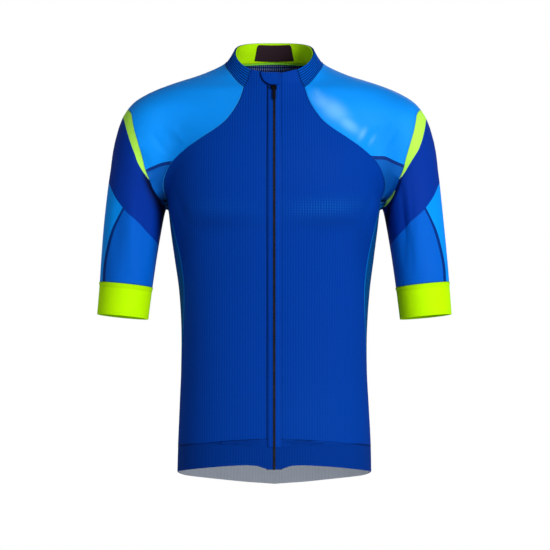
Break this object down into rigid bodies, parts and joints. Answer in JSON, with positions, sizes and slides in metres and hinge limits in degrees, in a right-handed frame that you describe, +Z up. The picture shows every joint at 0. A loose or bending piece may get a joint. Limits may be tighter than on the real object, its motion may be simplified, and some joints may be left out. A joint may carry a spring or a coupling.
{
  "type": "cycling jersey",
  "caption": "Short-sleeved cycling jersey on a worn form, hollow, with a full front zip, a ribbed stand-up collar, banded cuffs and rear pockets.",
  "frame": {"origin": "midway between the two points where the collar meets the shoulders, which is where a wearer carries the jersey", "axes": "+Z up towards the collar, -Y towards the front with the zip, +X towards the wearer's left"},
  "size_m": [0.5414, 0.2268, 0.6926],
  "materials": {
    "ribbed_mesh": "royal blue ribbed mesh knit",
    "side_mesh": "mid blue open mesh knit",
    "smooth_knit": "smooth bright blue stretch knit with a soft sheen",
    "sleeve_knit": "smooth printed stretch knit in blues with a neon stripe",
    "cuff_band": "neon yellow-green elastic band",
    "collar_rib": "royal blue ribbed knit",
    "neck_facing": "neon yellow-green facing",
    "neck_label": "plain black woven label",
    "hem_band": "royal blue knit band, pale inside",
    "zip_tape": "black moulded teeth on woven tape",
    "zip_slider": "black enamelled slider",
    "zip_pull": "ridged black pull tab"
  },
  "bodies": {
    "garment": {"front_left": "ribbed_mesh", "front_right": "ribbed_mesh", "back": "ribbed_mesh", "back_pocket": "ribbed_mesh", "side_left": "side_mesh", "side_right": "side_mesh", "shoulder_left": "smooth_knit", "shoulder_right": "smooth_knit", "sleeve_left": "sleeve_knit", "sleeve_right": "sleeve_knit", "cuff_left": "cuff_band", "cuff_right": "cuff_band", "collar": "collar_rib", "collar_facing": "neck_facing", "neck_tape": "neck_facing", "neck_label": "neck_label", "hem_front_left": "hem_band", "hem_front_right": "hem_band", "hem_back": "hem_band", "zip_tape": "zip_tape", "zip_garage": "ribbed_mesh", "zip_slider": "zip_slider"},
    "zip_pull": {"zip_pull": "zip_pull"}
  },
  "joints": [
    {"name": "pull_swing", "type": "hinge", "parent": "garment", "child": "zip_pull", "pos_m": [0, -0.06915, -0.04644], "axis": [-1, 0, 0], "range_deg": [0, 110]}
  ]
}
